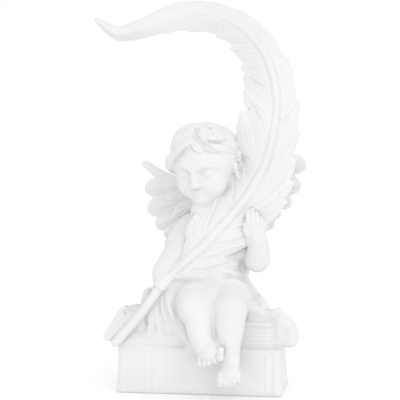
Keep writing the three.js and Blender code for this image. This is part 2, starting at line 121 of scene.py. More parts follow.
LOWER_HEIGHT = 36.0
LOWER_BOARD = 4.0
BOOK_LEFT, BOOK_RIGHT = -60.5, 63.8
BOOK_FRONT, BOOK_BACK = -38.5, 38.0
BOOK_MIDDLE = (BOOK_LEFT + BOOK_RIGHT) / 2
BACK_ROUNDING = 22.0
BOOK_FLARE = 0.03


def flare(co):
    """The lower book widens a little towards the ground."""
    widening = BOOK_FLARE * (1 - co.z / LOWER_HEIGHT)
    return Vector((co.x + widening * (co.x - BOOK_MIDDLE), co.y, co.z))


def leaves(low, high, count, back, corner):
    """A block of pages: thin leaves that stand out and back in turn."""
    step = (high[2] - low[2]) / count
    for i in range(count):
        inset = back * (i % 2)
        slab(
            (low[0] + inset, low[1] + inset, low[2] + i * step - 0.2),
            (high[0] - inset, high[1] - inset, low[2] + (i + 1) * step + 0.2),
            bevel=corner,
            soft=0.3,
            shape=flare if low[2] < LOWER_HEIGHT - 5 else None,
        )


for low, high in ((0, LOWER_BOARD), (LOWER_HEIGHT - LOWER_BOARD, LOWER_HEIGHT)):
    slab((BOOK_LEFT, BOOK_FRONT + 1, low), (BOOK_RIGHT, 0, high), 1.8, shape=flare)
    slab((BOOK_LEFT, -20, low), (BOOK_RIGHT, BOOK_BACK, high), BACK_ROUNDING, shape=flare)
slab((BOOK_LEFT, BOOK_FRONT, 0), (BOOK_RIGHT, -22, LOWER_HEIGHT), 4.8, soft=1.5, shape=flare)
PAGES_LOW, PAGES_HIGH = LOWER_BOARD - 0.5, LOWER_HEIGHT - LOWER_BOARD + 0.5
PAGES_FRONT = -34
PAGE_INSET = 0.7
leaves(
    (BOOK_LEFT + PAGE_INSET, PAGES_FRONT, PAGES_LOW),
    (BOOK_RIGHT - PAGE_INSET, 37.2, PAGES_HIGH),
    count=18,
    back=0.15,
    corner=21,
)
SPINE_BANDS = (-35, 57.5)
BAND_HALF = 3
RIDGE_HALF = 0.9
for band in SPINE_BANDS:
    for ridge in (band - BAND_HALF, band + BAND_HALF):
        slab(
            (ridge - RIDGE_HALF, BOOK_FRONT - 0.5, PAGES_LOW),
            (ridge + RIDGE_HALF, PAGES_FRONT, PAGES_HIGH),
            0.5,
            soft=1.6,
        )

# THE UPPER BOOK
# A smaller book on the first, its fore edge to the front, so that its leaves show as fine level lines
# between two thin boards. Cast as one with the rest.
SEAT = 56.0
UPPER_LEFT, UPPER_RIGHT = -47, 58
UPPER_FRONT, UPPER_BACK = -31, 33
for low, high in ((35.5, 39), (52.6, SEAT)):
    slab((UPPER_LEFT, UPPER_FRONT, low), (UPPER_RIGHT, UPPER_BACK, high), 1.2)
leaves((-45.5, -29.6, 38.5), (56.6, 31.6, 53), count=9, back=0.4, corner=3)


# THE CLOTH
# A loose cloth spread over the books under the seated figure, in the same plaster: a mound of folds round
# the hips, gathered in ruffles that hang over both ends of the books.
def course(stations, count):
    """Points on a smooth curve through the stations, with every other value carried along."""
    knots = np.array(stations, float)
    knots = np.vstack([2 * knots[0] - knots[1], knots, 2 * knots[-1] - knots[-2]])
    points = []
    for t in np.linspace(0, len(stations) - 1, count):
        i = min(int(t), len(stations) - 2)
        f = t - i
        p, q, r, s = knots[i : i + 4]
        bend = 2 * p - 5 * q + 4 * r - s
        points.append(0.5 * (2 * q + (r - p) * f + bend * f * f + (3 * q - p - 3 * r + s) * f**3))
    return np.array(points)


def unit(v):
    return np.array(v, float) / np.linalg.norm(v)


def beyond(trim, x, y, z):
    """How far each grid point lies past a cut, which is a point and a direction."""
    point, way = np.array(trim[0], float), unit(trim[1])
    return (
        (x[:, None, None] - point[0]) * way[0]
        + (y[None, :, None] - point[1]) * way[1]
        + (z[None, None, :] - point[2]) * way[2]
    )


def limb(
    stations,
    soft=2.0,
    flat=1.0,
    face=(0, -1, 0),
    steps=4,
    strands=0,
    groove=0.0,
    twist=0.0,
    trim=None,
    dig=False,
):
    """A rounded form through stations of x, y, z and radius. flat squeezes it along face; strands groove
    it lengthwise; trim is a point and a direction beyond which it is cut off; dig takes it away instead."""
    path = course(stations, steps * (len(stations) - 1) + 1)
    spots, radii = path[:, :3], path[:, 3]
    margin = soft + 2 * GRAIN
    low, high = (spots - radii[:, None]).min(0), (spots + radii[:, None]).max(0)
    place, x, y, z = room(low - margin, high + margin)
    near = np.full((x.size, y.size, z.size), FAR, np.float32)
    facing = unit(face)
    for i in range(len(spots) - 1):
        a, b = spots[i], spots[i + 1]
        run = b - a
        reach = max(radii[i], radii[i + 1]) + margin
        low, high = np.minimum(a, b) - reach, np.maximum(a, b) + reach
        inner = tuple(
            slice(int(np.searchsorted(axis, low[k])), int(np.searchsorted(axis, high[k])) + 1)
            for k, axis in enumerate((x, y, z))
        )
        px = x[inner[0]][:, None, None] - np.float32(a[0])
        py = y[inner[1]][None, :, None] - np.float32(a[1])
        pz = z[inner[2]][None, None, :] - np.float32(a[2])
        if not (px.size and py.size and pz.size):
            continue
        t = np.clip((px * run[0] + py * run[1] + pz * run[2]) / max(run @ run, 1e-9), 0, 1)
        px, py, pz = px - t * run[0], py - t * run[1], pz - t * run[2]
        size = px * px + py * py + pz * pz
        if flat != 1.0:
            across_face = px * facing[0] + py * facing[1] + pz * facing[2]
            size += across_face * across_face * (1 / flat**2 - 1)
        thick = radii[i] + t * (radii[i + 1] - radii[i])
        if strands:
            ahead = unit(run)
            side = unit(np.cross(facing, ahead))
            out = np.cross(ahead, side)
            turn = np.arctan2(
                px * out[0] + py * out[1] + pz * out[2], px * side[0] + py * side[1] + pz * side[2]
            )
            along = (i + t) / (len(spots) - 1)
            thick = thick * (1 - groove * (0.5 + 0.5 * np.cos(strands * turn + twist * along)))
        part = near[inner]
        np.minimum(part, np.sqrt(size) - thick, out=part)
    if trim:
        near = np.maximum(near, beyond(trim, x, y, z))
    (carve if dig else join)(place, near, soft)


UPRIGHT = np.eye(3)


def turned(about_x=0.0, about_y=0.0, about_z=0.0):
    """A turn about x, then y, then z, in degrees."""
    turn = (
        Matrix.Rotation(math.radians(about_z), 3, "Z")
        @ Matrix.Rotation(math.radians(about_y), 3, "Y")
        @ Matrix.Rotation(math.radians(about_x), 3, "X")
    )
    return np.array(turn)


def ball(at, radii, turn=UPRIGHT, soft=2.0, trim=None, dig=False):
    """An ellipsoid, turned by a rotation."""
    at, radii = np.array(at, float), np.array(radii, float)
    margin = soft + 2 * GRAIN
    reach = np.sqrt(((turn * radii) ** 2).sum(1)) + margin
    place, x, y, z = room(at - reach, at + reach)
    px = x[:, None, None] - np.float32(at[0])
    py = y[None, :, None] - np.float32(at[1])
    pz = z[None, None, :] - np.float32(at[2])
    once, twice = 0, 0
    for k in range(3):
        local = px * turn[0, k] + py * turn[1, k] + pz * turn[2, k]
        once = once + (local / radii[k]) ** 2
        twice = twice + (local / radii[k] ** 2) ** 2
    once = np.sqrt(once)
    near = once * (once - 1) / np.sqrt(np.maximum(twice, 1e-9))
    if trim:
        near = np.maximum(near, beyond(trim, x, y, z))
    (carve if dig else join)(place, near.astype(np.float32), soft)


def mound():
    """The cloth round the hips: a round heap whose skirt spreads in folds over the upper book."""
    bm = bmesh.new()
    bmesh.ops.create_uvsphere(bm, u_segments=160, v_segments=48, radius=1.0)
    for v in bm.verts:
        turn = math.atan2(v.co.y, v.co.x)
        height = math.acos(max(-1.0, min(1.0, -v.co.z))) / math.pi
        spread = (1 - height) ** 0.75 * min(1.0, height * 7 + 0.85)
        fold = math.cos(11 * turn + 1.2 * math.sin(2 * turn) + 2.0 * height)
        ripple = 1 + 0.06 * fold * (1 - height) + 0.02 * math.cos(23 * turn) * (1 - height)
        reach = (0.42 + 0.58 * spread) * math.sqrt(max(0.0, 1 - (2 * height - 1) ** 8)) * ripple
        across, deep = 49 * reach * math.cos(turn), 29 * reach * math.sin(turn)
        v.co = Vector((4 + 4 * height + across, 3 + deep, SEAT - 1 + 36 * height))
    press(bm, 2.0)


mound()
limb([(-50, -22, 49, 8), (-32, -23, 51, 9.5), (-14, -24, 52, 9.5)], 3.0)
ball((-30, -20, 77), (7, 5, 10), soft=3.0)
limb([(-12, -29, 62, 6), (-9, -32, 48, 7), (-2, -35, 40, 6)], 4.0)
# at the right hand: the cloth rises behind the quill, folds over the books' end and hangs in a point
limb([(-24, -6, 68, 8), (-35, -12, 73, 5.5), (-40.5, -17, 74.5, 4), (-42, -19, 69, 4)], 1.6, flat=0.7)
limb(
    [(-36, -20, 60, 6), (-52, -26, 58.5, 6.6), (-61, -30.5, 50.5, 6.2), (-69, -34, 42.5, 3.4)],
    1.5,
    flat=0.5,
    face=(-0.35, -0.75, 0.55),
)
limb(
    [
        (-44, -20, 64, 2.4),
        (-52, -23.5, 65, 2.4),
        (-59.5, -26, 62.5, 2.2),
        (-65, -29, 53, 2.2),
        (-72, -32, 43, 1.5),
    ],
    1.5,
)
limb([(-50, -20, 56, 5), (-61, -25, 47, 5), (-65, -27, 40, 4)], 3.0)
limb(
    [
        (-4, -22, 88, 8),
        (-14, -27, 85, 6.5),
        (-20, -29, 78, 5),
        (-21, -30, 68, 4.6),
        (-20, -30, 56, 4.6),
    ],
    2.5,
)
limb([(-8, -22, 66, 8), (-13, -28, 58, 6.5), (-14, -30, 46, 6)], 2.0)
limb([(-14, -29, 52, 5), (-30, -29.5, 50, 5.2), (-46, -28, 48, 5)], 2.5)
for k in range(4):
    limb(
        [
            (-25 - 3 * k, -30, 82 - 5 * k, 2.4),
            (-21.5 - 4.6 * k, -33.5, 67 - 2 * k, 3.6),
            (-14 - 7.4 * k, -34, 49, 3.0),
        ],
        1.4,
        flat=0.9,
    )
for k in range(2):
    limb(
        [
            (-26.5 - 3 * k, -33, 78 - 5 * k, 0.6),
            (-24 - 4.6 * k, -36.4, 66 - 2 * k, 1.3),
            (-18 - 7.4 * k, -36.6, 53, 0.8),
        ],
        1.0,
        dig=True,
    )
ball((-31.5, -33, 73.5), (2.2, 3.2, 4.4), turned(0, 28, 0), 1.2, dig=True)
limb([(-30, -25, 66, 4), (-38, -28, 59, 5), (-44, -31, 52, 4)], 0.8, flat=0.7)
limb(
    [
        (-10, -31, 40, 4),
        (-20, -31.5, 40.5, 5),
        (-32, -33, 41.5, 6),
        (-48, -33, 41, 6.4),
        (-58, -32, 40, 5.6),
    ],
    3.0,
    flat=0.8,
)
limb([(-43, -14, 61.5, 3.6), (-52, -16, 62, 3.6), (-58, -20, 59.5, 2.8)], 1.5)
ball((-50.5, -26.5, 65), (5.8, 7.5, 3.2), turned(0, 8, 0), 0.8, dig=True)
ball((-56.5, -30, 60), (1.2, 4, 1.2), soft=0.8, dig=True)
limb([(-30, -37.4, 48.4, 0.7), (-22, -37.4, 48.6, 1.3), (-15, -36.4, 48.6, 0.3)], 1.0, dig=True)
ball((-39, -34.5, 54.5), (1.9, 2.6, 1.9), turned(0, 20, 0), 1.0, dig=True)
# at the left hand: it rises to a peak and ends in a broad hanging lobe
limb([(30, -8, 70, 8), (40, -10, 70, 5.6), (46.5, -13, 69, 4.2), (50.5, -15, 62, 4)], 1.5)
limb(
    [
        (40, -18, 60, 5),
        (51, -19.5, 59.5, 4.4),
        (57.5, -20.5, 61.5, 3.4),
        (61.5, -20.5, 64, 2.6),
        (65, -20, 58, 4),
    ],
    1.2,
    flat=0.8,
)
ball((66.2, -18.5, 48.6), (9.4, 11, 14.4), turned(0, -28, 0), 2.0)
ball((66, -32.6, 46), (7.4, 6.2, 10.4), turned(0, -28, 0), 3.0, dig=True)
ball((60, -18, 40), (7, 9, 5), soft=3.0)
limb([(60, -27, 61, 1.0), (58, -30, 53, 1.1), (60, -31, 43, 1.1), (66, -30, 36, 0.9)], 1.2, dig=True)
limb([(40, -20, 57, 5), (53, -19, 50, 8), (58, -16, 43, 7)], 2.5)
limb([(28, -16, 66, 9), (40, -19, 65, 6.5), (48, -19, 61, 4)], 2.0)
ball((46, -21.5, 70), (3.2, 4.4, 2.4), turned(0, 35, 0), 0.8, dig=True)

# THE TRUNK AND THE TUNIC
# A small child's soft trunk in a thin short tunic, modelled in one with the rest, with folds round the
# belly and a raised hem over the left thigh.
limb(
    [
        (8, 6, 68, 22),
        (8, 1, 88, 21),
        (10, 3, 108, 19.5),
        (9, 2, 123, 15),
        (7, -4, 137, 11.5),
        (6, -9, 152, 12),
    ],
    4.0,
    flat=0.86,
)
limb([(-14, 4, 117, 10), (8, 6, 125, 12), (36, 5, 126, 10)], 6.0)
ball((12, -12, 93), (20, 19.5, 19), soft=8.0)
ball((9, -12, 111), (23, 17, 17), soft=8.0)
limb(
    [
        (36, -2, 120, 10),
        (35, -12, 112, 9),
        (33, -12, 106, 7),
        (31, 6, 97, 7),
        (27, 5, 88, 8),
        (25, 0, 80, 8),
    ],
    3.0,
)
ball((33.4, -9, 97), (4.4, 13, 6.4), turned(0, -20, 0), 3.0, dig=True)
limb([(3, -4, 128, 12), (3, -9, 138, 9)], 6.0)
HEM = -30
limb([(-1, 4, 72, 18), (-4, -16, 74.5, 16.6), (-3.2, -29, 73, 14.8), (-0.6, -41, 67, 12.4)], 3.0)
limb(
    [(18, 4, 72, 18), (23, -16, 74, 16.6), (25.5, -36, 73, 14.8)],
    3.0,
    trim=((0, HEM, 72), (0.1, -1, -0.25)),
)
limb([(9, -8, 80, 15), (9.5, -24, 77, 11), (10.5, -36, 72, 9), (11, -42, 65, 8)], 5.0)
hem_line = []
for i in range(9):
    turn = math.radians(-52 + i * 13)
    across, high = 25.5 + 15.2 * math.sin(turn), 73.2 + 15 * math.cos(turn)
    deep = HEM - 1 + 3.4 * (1 - math.cos(turn))
    hem_line.append((across, deep, high, 1.2 * math.cos(1.6 * turn) ** 0.5))
limb(hem_line, 3.0, steps=2)
# folds round the belly towards the left hip
for k in range(3):
    fold = []
    for i in range(6):
        turn = math.radians(10 + 13 * i)
        rise = math.radians(-14 + 24 * k - 3 * i)
        level = math.cos(rise)
        across, deep = 12 + 20 * math.sin(turn) * level, -12 - 19.5 * math.cos(turn) * level
        fold.append((across, deep, 93 + 19 * math.sin(rise), 1.5 * math.sin(math.pi * (i + 0.5) / 6)))
    limb(fold, 2.0, steps=2)

# THE LEGS AND FEET
# Plump bare legs that hang over the books from the hem down. The right shin crosses to the left ankle,
# and the hollow behind the calves is filled, as the mould needs it.
limb([(-3, -14, 72, 16), (-3, -28, 71.5, 14.2), (-0.6, -39, 68, 12.2)], 3.0)
limb(
    [
        (-0.4, -42, 68, 11.9),
        (3.4, -47, 60, 11.0),
        (4.6, -49.5, 52, 10.2),
        (6.3, -51, 45.3, 9.1),
        (8.2, -51.5, 40.5, 8.2),
    ],
    4.0,
)
ball((-1.4, -48, 68), (7, 5.5, 7), soft=5.0)
limb([(22, -14, 72, 16), (24.5, -28, 71.5, 14.4), (26, -40, 67.5, 12.6)], 3.0)
limb(
    [
        (26.4, -42.5, 67, 12.2),
        (26.8, -47, 58, 11.6),
        (26.8, -49, 48, 9.8),
        (27, -50, 38, 8),
        (27, -50, 31, 7.2),
    ],
    4.0,
)
ball((26.5, -49, 68), (7, 5.5, 7), soft=5.0)
limb([(10, -34, 60, 12), (14, -38, 48, 10), (19, -38, 34, 8)], 5.0)


TOE_PLACES = (0, 0.28, 0.53, 0.77, 1)
TOE_RADII = (2.8, 2.2, 2.15, 2.0, 1.8)


def foot(heel, arch, pad, up, big, little, toe_way):
    """A foot from heel to ball, with five round toes from the big one to the little one."""
    limb([heel, arch, pad], 3.0, flat=0.68, face=up)
    big, little, toe_way = np.array(big, float), np.array(little, float), unit(toe_way)
    for k, radius in zip(TOE_PLACES, TOE_RADII):
        tip = big + (little - big) * k + toe_way * 1.6 * math.sin(math.pi * k)
        base, joint = tip - toe_way * 7, tip - toe_way * 3
        limb([(*base, radius * 0.9), (*joint, radius * 0.86), (*tip, radius)], 0.6)
        nail = tip + unit(np.array(up)) * radius * 0.85 + toe_way * radius * 0.3
        ball(nail, (radius * 0.5, radius * 0.5, 0.5), soft=0.5)


foot(
    heel=(8, -46, 41, 8),
    arch=(11.5, -55, 40, 8),
    pad=(13.6, -60, 36.4, 7.4),
    up=(-0.25, -0.6, 1),
    big=(22, -66.2, 35.2),
    little=(6.4, -64.2, 29.4),
    toe_way=(0.02, -0.7, -0.71),
)
foot(
    heel=(27, -46, 31, 7.2),
    arch=(27.2, -53.5, 27, 7.4),
    pad=(27.8, -58, 22, 7.2),
    up=(0, -0.85, 0.6),
    big=(21.4, -63.2, 15.2),
    little=(34.8, -60.4, 16.6),
    toe_way=(0, -0.45, -0.9),
)

# THE ARMS AND HANDS
# Short rounded arms, in one with the rest, the right one coming out of a sleeve end. The right hand
# closes round the quill; the left arm is folded up, and its flat hand presses the feather to the chest.
limb([(-10.5, -2, 118, 11.8), (-18, -19, 105.5, 11), (-24.6, -29, 93, 9.9)], 3.0)
limb([(-24.6, -29, 92, 9.8), (-25.6, -31.5, 89.4, 8.8), (-26, -33.5, 88, 7.4)], 3.0)
limb([(-2, -14, 124, 9), (-10, -20, 112, 9), (-17, -26, 98, 8)], 3.0)
limb(
    [(-8, -1, 122, 13.4), (-14.5, -12, 113, 12.8), (-20, -22, 103, 12.4)],
    3.0,
    trim=((-17.5, -15, 108.5), (-0.4, -0.6, -0.7)),
)
QUILL_WAY = unit((18.7, 5, 25.9))
GRIP = np.array((-24.4, -37.4, 87.2))
grip_front = unit(np.array((0, -1, 0)) - QUILL_WAY * (QUILL_WAY @ (0, -1, 0)))
grip_side = np.cross(QUILL_WAY, grip_front)
ball((-26.8, -33, 87.8), (5.6, 6, 7), turned(0, 36, 0), 2.0)
GRASP = 4.3


def round_quill(rise, turn):
    """A point beside the quill: how far above the grip, and the turn about the quill from the front."""
    angle = math.radians(turn)
    return GRIP + QUILL_WAY * rise + GRASP * (math.cos(angle) * grip_front + math.sin(angle) * grip_side)


FINGER_STEP = 3.3
for i in range(4):
    rise = 5.0 - FINGER_STEP * i
    limb([(*round_quill(rise, turn), 2.1 - 0.08 * i) for turn in (-165, -110, -60, -10, 35)], 1.0)
thumb = ((3.5, 170), (6.5, 110), (8.2, 60), (8.6, 15))
limb([(*round_quill(rise, turn), 2.2) for rise, turn in thumb], 0.8)

limb([(34, 4, 124, 11.5), (40, -9, 112.5, 10.2), (44.8, -21, 103.5, 9)], 3.0)
limb(
    [(45, -22.5, 102.8, 9), (46, -25, 110, 8.6), (46, -27, 117.5, 7.6), (45.2, -28.5, 122.5, 6.7)],
    3.0,
)
limb([(40, -26.5, 119, 4), (39.4, -27.5, 126, 4), (39.4, -28, 133, 3.4)], 2.5)
limb(
    [(45, -28.4, 122, 6.8), (44.4, -29.6, 126.5, 7.6), (44, -30.6, 130.5, 7.4)],
    1.6,
    flat=0.5,
    face=(0, -0.95, 0.3),
)
FINGER_TIPS = (142.6, 143.2, 140.8, 137)
for i, tip in enumerate(FINGER_TIPS):
    x = 39.2 + 3.4 * i
    limb(
        [
            (x + 0.5, -31, 128.5, 2.1),
            (x + 0.2, -32.6, 132.4, 2.15),
            (x - 0.5, -32.2, (132.4 + tip) / 2, 1.95),
            (x - 1.0, -30.4, tip - 1, 1.7),
        ],
        0.5,
    )
limb([(40.6, -29, 122.5, 3.2), (37.6, -30.8, 126, 2.7), (36.8, -31, 131, 2.3)], 1.2)

# THE HEAD
# A calm child's head with lowered lids, bent to the right hand and down, with full cheeks, a small nose
# and mouth. It is modelled in its own frame, face to the front, and turned as it is built in.
HEAD_AT = np.array((5.0, -13.0, 174.5))
HEAD_TURN = turned(0, 0, -16) @ turned(14, 0, 0) @ turned(0, -3, 0)
HEAD_SIZE = 0.95
SKULL = np.array((25.0, 27.5, 25.5))
SKULL_RISE = 4


def on_head(p):
    """A place in the head's own frame, put where the head is."""
    return HEAD_AT + HEAD_TURN @ (np.array(p, float) * HEAD_SIZE)


def head_ball(at, radii, soft, turn=UPRIGHT, trim=None, dig=False):
    if trim:
        trim = (on_head(trim[0]), HEAD_TURN @ np.array(trim[1], float))
    ball(on_head(at), np.array(radii, float) * HEAD_SIZE, HEAD_TURN @ turn, soft, trim, dig)


def head_limb(stations, soft, **more):
    face = more.pop("face", (0, -1, 0))
    placed = [(*on_head(s[:3]), s[3] * HEAD_SIZE) for s in stations]
    limb(placed, soft, face=HEAD_TURN @ np.array(face, float), **more)


head_ball((0, 0, SKULL_RISE), SKULL, 2.0)
head_ball((0, -7.5, -10), (18.5, 17.5, 17), 6.0)
head_ball((0, -11, -21), (11, 11, 7), 5.0)
head_ball((0, -20.8, -21.8), (5.6, 4.6, 4.8), 5.0)
for side in (-1, 1):
    head_ball((side * 10.8, -15.6, -11), (8.8, 8.6, 9), 6.0)
    head_ball((side * 9.4, -27.6, 1.6), (6.4, 4.4, 4.2), 4.0, dig=True)
    head_limb(
        [(side * 3.5, -25.6, 5.8, 1.6), (side * 9.5, -25.2, 8, 2), (side * 16, -20.6, 5.6, 1.4)],
        4.0,
    )
    head_ball((side * 9.3, -19.2, 0.6), (6.0, 5.4, 5.2), 1.5)
    head_ball(
        (side * 9.3, -19.2, 0.6), (6.7, 6.0, 5.9), 0.8, trim=((0, -24, -1.6), (0, -0.25, -1))
    )
    head_ball((side * 9.3, -19.0, 0.2), (6.4, 5.8, 5.5), 0.8, trim=((0, -24, -2.9), (0, -0.1, 1)))
    head_ball((side * 3.3, -26.6, -8.4), (2.1, 2.5, 1.9), 1.4)
head_limb(
    [(0, -25.4, 4.5, 2.1), (0, -27, -1.5, 2.4), (0, -28.6, -6.2, 3.0), (0, -28.8, -7.8, 3.0)],
    3.0,
)
for side in (-1, 1):
    head_ball((side * 1.7, -28.2, -10.4), (0.9, 1.5, 0.9), 0.8, dig=True)
head_limb(
    [
        (-5, -23.2, -14.9, 0.9),
        (-2.1, -25.4, -13.8, 1.7),
        (0, -25.5, -14.4, 1.5),
        (2.1, -25.4, -13.8, 1.7),
        (5, -23.2, -14.9, 0.9),
    ],
    1.4,
)
head_limb([(-4, -23.4, -16.2, 0.9), (0, -24.7, -17.1, 2.1), (4, -23.4, -16.2, 0.9)], 1.4)
head_limb(
    [
        (-4.5, -25.3, -14.9, 0.35),
        (-2.6, -26.4, -15.5, 0.55),
        (0, -27, -15.3, 0.5),
        (2.6, -26.4, -15.5, 0.55),
        (4.5, -25.3, -14.9, 0.35),
    ],
    0.9,
    dig=True,
)
for side in (-1, 1):
    head_ball((side * 25, 0, -3), (2.6, 4.6, 6.6), 1.5, turned(12, 0, side * 16))
    rim = []
    for i in range(9):
        turn = math.radians(-150 + i * 255 / 8)
        across, deep = 27.4 + 0.5 * math.sin(turn), 0.9 + 4 * math.cos(turn)
        rim.append((side * across, deep, -2.6 + 6.6 * math.sin(turn), 1.3))
    head_limb(rim, 0.8, steps=2)
    head_ball((side * 26.2, -1.9, -9), (1.8, 2.2, 2.6), 1.0)
    head_ball((side * 28.2, -0.9, -3), (1.8, 2.2, 3.6), 0.8, dig=True)

# the plaster left under the chin, beside the left curl, and between cheek, ear and feather
ball((3, -18, 140), (10, 9, 8), soft=4.0)
ball((-16, -14, 174), (6, 7, 8), soft=2.0)
ball((-18, -20.5, 174.5), (3.5, 3.5, 4.5), soft=3.0)
limb([(12, -18, 146, 6), (21, -14.5, 153, 6.5), (26, -11, 162, 7), (30, -6, 176, 7)], 3.0)
limb([(21, -16, 156, 4), (25, -14.5, 164, 4.4), (28, -12, 171, 4)], 2.5)

# THE HAIR
# Loose waves of a small child, modelled in the same plaster: a sweep of locks from the parting to each
# side of the brow, and rows of locks from the crown to the nape, each grooved into strands.
def scalp(compass, height, proud):
    """A point over the skull in a direction of compass and height, in degrees."""
    level = math.cos(math.radians(height))
    return np.array(
        (
            math.sin(math.radians(compass)) * level * (SKULL[0] + proud),
            -math.cos(math.radians(compass)) * level * (SKULL[1] + proud),
            SKULL_RISE + math.sin(math.radians(height)) * (SKULL[2] + proud),
        )
    )


def lock(way, thick, proud=1.0, strands=4, soft=0.5, flat=0.75):
    """A lock that follows directions of compass and height over the scalp, thickest near its root."""
    stations = []
    for i, (compass, height) in enumerate(way):
        k = i / (len(way) - 1)
        rise = proud * (0.4 + math.sin(math.pi * min(1.0, k * 1.15)))
        size = thick * (0.8 + 0.3 * math.sin(math.pi * k) - 0.35 * k) * HEAD_SIZE
        stations.append((*on_head(scalp(compass, height, rise)), size))
    middle = scalp(*way[len(way) // 2], 0) - np.array((0, 0, SKULL_RISE))
    outward = HEAD_TURN @ unit(middle)
    limb(stations, soft, flat, outward, steps=5, strands=strands, groove=0.26, twist=1.5)


def parting(way, width):
    """A crease between locks."""
    limb([(*on_head(scalp(compass, height, 4.1)), width) for compass, height in way], 1.5, dig=True)


head_ball((0, 1.5, 5), SKULL + np.array((1.2, 0.8, 0.6)), 1.0, trim=((0, -17, 17), (0, -0.8, -0.62)))
head_ball((0, 9, 0), (24.4, 20, 22), 2.0)
# the sweep to the left side of the brow, from the parting
lock([(0, 80), (32, 75), (62, 62), (86, 54), (108, 42)], 5.0, 1.0)
lock([(4, 68), (28, 60), (50, 49), (70, 46), (90, 42), (106, 28)], 4.8, 1.4)
lock([(2, 58), (6, 48), (12, 40), (20, 34)], 4.0, 0.8, strands=3)
lock([(8, 58), (24, 46), (40, 37), (58, 30), (76, 21), (90, 12)], 4.6, 1.8)
lock([(88, 32), (104, 22), (118, 8), (124, -8)], 4.0, 1.0, strands=3)
# the sweep to the right side
lock([(-40, 86), (-84, 72), (-100, 52), (-98, 30), (-88, 10), (-80, -12)], 5.0, 3.2)
lock([(-10, 76), (-46, 70), (-74, 54), (-82, 36), (-76, 18), (-66, 0)], 5.0, 3.6)
lock([(-4, 66), (-30, 61), (-52, 51), (-63, 37), (-62, 22), (-54, 8)], 4.8, 3.2)
lock([(-2, 62), (-22, 56), (-40, 47), (-50, 35), (-53, 18)], 4.6, 1.8)
lock([(0, 57), (-14, 49), (-26, 42), (-37, 31), (-46, 20)], 4.6, 1.8)
lock([(-50, 24), (-58, 10), (-68, -4), (-84, -12)], 4.8, 3.0)
lock([(-70, 16), (-74, 2), (-84, -12), (-98, -22)], 5.2, 4.2)
parting([(1, 62), (20, 49), (33, 38), (40, 31)], 1.6)
parting([(40, 44), (56, 40), (74, 37), (90, 34)], 1.5)
parting([(-6, 78), (-1, 68), (1, 61)], 1.5)
parting([(100, 50), (103, 48)], 1.4)
# rows from the crown to the nape
NAPE_ROWS = (
    (9, 92, 86, 48, 12, 5.2),
    (11, 96, 58, 18, -12, 5),
    (10, 112, 28, -10, 12, 4.8),
    (9, 114, 2, -32, -12, 4.4),
)
for row, (count, start, top, bottom, sway, thick) in enumerate(NAPE_ROWS):
    for i in range(count):
        compass = start + (268 - start) * (i + 0.5 * (row % 2)) / (count - 0.5)
        bend = sway * (1 if i % 2 else 0.6)
        way = []
        for j in range(5):
            k = j / 4
            way.append((compass + bend * math.sin(k * math.pi * 1.6) - 8 * k, top + (bottom - top) * k))
        lock(way, thick, 1.4)

# THE WINGS
# A pair of short wings that grow from the shoulder blades: a rounded leading arm with a raised tip, and
# below it broad overlapping feathers with round ends, each with a fine midrib.
WING_MIDDLE = 12.2
FRONT = np.array((0.0, -1.0, 0.0))


def skin(stations, section, sides, rows, soft, start=0.0, end=1.0):
    """A closed skin along a smooth curve. section(t, side, front) gives the offsets across and towards
    the front, where side and front are the cosine and sine of the turn round the curve."""
    count = 40 * len(stations)
    curve = course([s[:3] for s in stations], count + 1)
    ahead = np.gradient(curve, axis=0)
    across = np.cross(FRONT, ahead)
    across /= np.linalg.norm(across, axis=1)[:, None]
    out = np.cross(ahead, across)
    out /= np.linalg.norm(out, axis=1)[:, None]
    bm = bmesh.new()
    bmesh.ops.create_grid(bm, x_segments=sides, y_segments=rows, size=1.0)
    flat_co = np.array([v.co for v in bm.verts])
    along = flat_co[:, 1] * 0.5 + 0.5
    t = start + (end - start) * along
    turn = flat_co[:, 0] * np.pi
    wide, deep = section(t, np.cos(turn), np.sin(turn))
    ends = (along < 1e-5) | (along > 1 - 1e-5)
    wide, deep = np.where(ends, 0, wide), np.where(ends, 0, deep)
    first = np.minimum((t * count).astype(int), count - 1)
    part = (t * count - first)[:, None]

    def at(values):
        return values[first] * (1 - part) + values[first + 1] * part

    spots = at(curve) + at(across) * wide[:, None] + at(out) * deep[:, None]
    for v, co in zip(bm.verts, spots.tolist()):
        v.co = co
    press(bm, soft)


PLUME_LINE = 3.0
PLUME_LINE_DEPTH = 0.7
PLUME_ROUND_FROM = 0.62


def plume(root, tip, half_width, thick, sag=1.5, soft=0.4):
    """One broad feather of a wing, with a midrib and fine lines along it."""
    root, tip = np.array(root, float), np.array(tip, float)
    middle = (root + tip) / 2 + np.array((0, 0, sag))
    length = np.linalg.norm(tip - root)

    def section(t, side, front):
        away = np.abs(side)
        end = np.clip((t - PLUME_ROUND_FROM) / (1 - PLUME_ROUND_FROM), 0, 1)
        outline = np.minimum(1.0, t * 2.2 + 0.35) * np.sqrt(np.maximum(0.0, 1 - end**2.4))
        rib = np.where(front > 0, 0.9 * np.exp(-((side * half_width / 0.9) ** 2)), 0.5)
        phase = (away * half_width - 0.16 * t * length) * 2 * np.pi / PLUME_LINE
        lines = PLUME_LINE_DEPTH * np.cos(phase) * np.minimum(1.0, away * 3)
        depth = thick * (1 - 0.5 * away * away)
        return side * half_width * outline, front * (depth + rib + lines) * (0.3 + 0.7 * outline)

    skin([root, middle, tip], section, 64, 48, soft)


